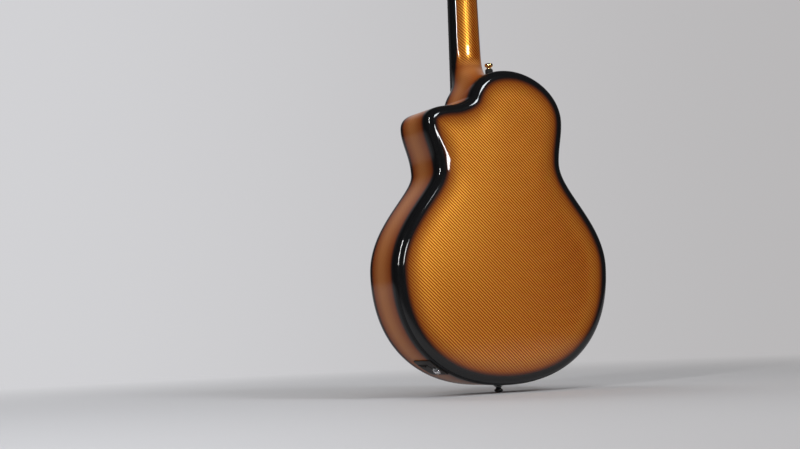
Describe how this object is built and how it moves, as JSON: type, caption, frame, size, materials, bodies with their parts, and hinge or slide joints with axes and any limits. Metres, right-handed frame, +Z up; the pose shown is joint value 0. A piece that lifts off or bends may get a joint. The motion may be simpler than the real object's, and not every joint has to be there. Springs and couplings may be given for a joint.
{
  "type": "acoustic guitar",
  "caption": "Steel-string acoustic guitar with a moulded composite body, one cutaway, geared tuners and an output plate with jack and battery drawer.",
  "frame": {"origin": "middle of the tail's edge, in the plane of the soundboard's front face", "axes": "+Z up the neck, -Y out of the soundboard, +X to the treble side, which has the cutaway"},
  "size_m": [0.3786, 0.1177, 1.0369],
  "materials": {
    "gold_weave": "twill fibre weave under high-gloss clear lacquer, edges sprayed black",
    "black_gloss": "gloss",
    "fretboard_black": "satin composite",
    "bone": "satin",
    "nickel": "polished",
    "gold": "gold-plated, polished",
    "chrome": "polished",
    "bronze_wire": "bronze-wound",
    "steel_wire": "plain wire",
    "black_plastic": "moulded",
    "black_felt": "felt",
    "pickup_strip": "foil-wrapped strip",
    "battery_case": "painted jacket, unmarked"
  },
  "bodies": {
    "instrument": {"body_shell": "gold_weave", "soundboard": "gold_weave", "neck": "gold_weave", "fretboard": "fretboard_black", "nut": "bone", "bridge": "fretboard_black", "saddle": "bone", "under_saddle_pickup": "pickup_strip", "fret_01": "nickel", "fret_02": "nickel", "fret_03": "nickel", "fret_04": "nickel", "fret_05": "nickel", "fret_06": "nickel", "fret_07": "nickel", "fret_08": "nickel", "fret_09": "nickel", "fret_10": "nickel", "fret_11": "nickel", "fret_12": "nickel", "fret_13": "nickel", "fret_14": "nickel", "fret_15": "nickel", "fret_16": "nickel", "fret_17": "nickel", "fret_18": "nickel", "fret_19": "nickel", "fret_20": "nickel", "string_1": "bronze_wire", "string_2": "bronze_wire", "string_3": "bronze_wire", "string_4": "bronze_wire", "string_5": "steel_wire", "string_6": "steel_wire", "tuner_housing_1": "gold", "tuner_housing_2": "gold", "tuner_housing_3": "gold", "tuner_housing_4": "gold", "tuner_housing_5": "gold", "tuner_housing_6": "gold", "strap_button": "gold", "strap_button_washer": "black_felt", "end_pin": "black_gloss", "end_pin_washer": "black_felt", "output_panel": "black_plastic", "output_jack": "chrome"},
    "drawer": {"battery_drawer": "black_plastic", "battery": "battery_case"},
    "knob_1": {"tuner_knob_1": "black_gloss"},
    "post_1": {"tuner_post_1": "gold"},
    "knob_2": {"tuner_knob_2": "black_gloss"},
    "post_2": {"tuner_post_2": "gold"},
    "knob_3": {"tuner_knob_3": "black_gloss"},
    "post_3": {"tuner_post_3": "gold"},
    "knob_4": {"tuner_knob_4": "black_gloss"},
    "post_4": {"tuner_post_4": "gold"},
    "knob_5": {"tuner_knob_5": "black_gloss"},
    "post_5": {"tuner_post_5": "gold"},
    "knob_6": {"tuner_knob_6": "black_gloss"},
    "post_6": {"tuner_post_6": "gold"}
  },
  "joints": [
    {"name": "drawer_slide", "type": "slide", "parent": "instrument", "child": "drawer", "axis": [0.5548, 0, -0.832], "range_m": [0, 0.05]},
    {"name": "knob_1_turn", "type": "hinge", "parent": "instrument", "child": "knob_1", "pos_m": [-0.0225, 0.03351, 0.90381], "axis": [-1, 0, 0], "continuous": true},
    {"name": "post_1_turn", "type": "hinge", "parent": "instrument", "child": "post_1", "pos_m": [-0.0225, 0.01161, 0.90092], "axis": [0, -0.9703, 0.2419], "continuous": true},
    {"name": "knob_2_turn", "type": "hinge", "parent": "instrument", "child": "knob_2", "pos_m": [-0.0225, 0.04319, 0.94262], "axis": [-1, 0, 0], "continuous": true},
    {"name": "post_2_turn", "type": "hinge", "parent": "instrument", "child": "post_2", "pos_m": [-0.0225, 0.02129, 0.93973], "axis": [0, -0.9703, 0.2419], "continuous": true},
    {"name": "knob_3_turn", "type": "hinge", "parent": "instrument", "child": "knob_3", "pos_m": [-0.0225, 0.05287, 0.98143], "axis": [-1, 0, 0], "continuous": true},
    {"name": "post_3_turn", "type": "hinge", "parent": "instrument", "child": "post_3", "pos_m": [-0.0225, 0.03097, 0.97855], "axis": [0, -0.9703, 0.2419], "continuous": true},
    {"name": "knob_4_turn", "type": "hinge", "parent": "instrument", "child": "knob_4", "pos_m": [0.0225, 0.05287, 0.98143], "axis": [1, 0, 0], "continuous": true},
    {"name": "post_4_turn", "type": "hinge", "parent": "instrument", "child": "post_4", "pos_m": [0.0225, 0.03097, 0.97855], "axis": [0, -0.9703, 0.2419], "continuous": true},
    {"name": "knob_5_turn", "type": "hinge", "parent": "instrument", "child": "knob_5", "pos_m": [0.0225, 0.04319, 0.94262], "axis": [1, 0, 0], "continuous": true},
    {"name": "post_5_turn", "type": "hinge", "parent": "instrument", "child": "post_5", "pos_m": [0.0225, 0.02129, 0.93973], "axis": [0, -0.9703, 0.2419], "continuous": true},
    {"name": "knob_6_turn", "type": "hinge", "parent": "instrument", "child": "knob_6", "pos_m": [0.0225, 0.03351, 0.90381], "axis": [1, 0, 0], "continuous": true},
    {"name": "post_6_turn", "type": "hinge", "parent": "instrument", "child": "post_6", "pos_m": [0.0225, 0.01161, 0.90092], "axis": [0, -0.9703, 0.2419], "continuous": true}
  ],
  "couplings": [
    {"joint": "post_1_turn", "follows": "knob_1_turn", "ratio": 0.071429},
    {"joint": "post_2_turn", "follows": "knob_2_turn", "ratio": 0.071429},
    {"joint": "post_3_turn", "follows": "knob_3_turn", "ratio": 0.071429},
    {"joint": "post_4_turn", "follows": "knob_4_turn", "ratio": -0.071429},
    {"joint": "post_5_turn", "follows": "knob_5_turn", "ratio": -0.071429},
    {"joint": "post_6_turn", "follows": "knob_6_turn", "ratio": -0.071429}
  ]
}
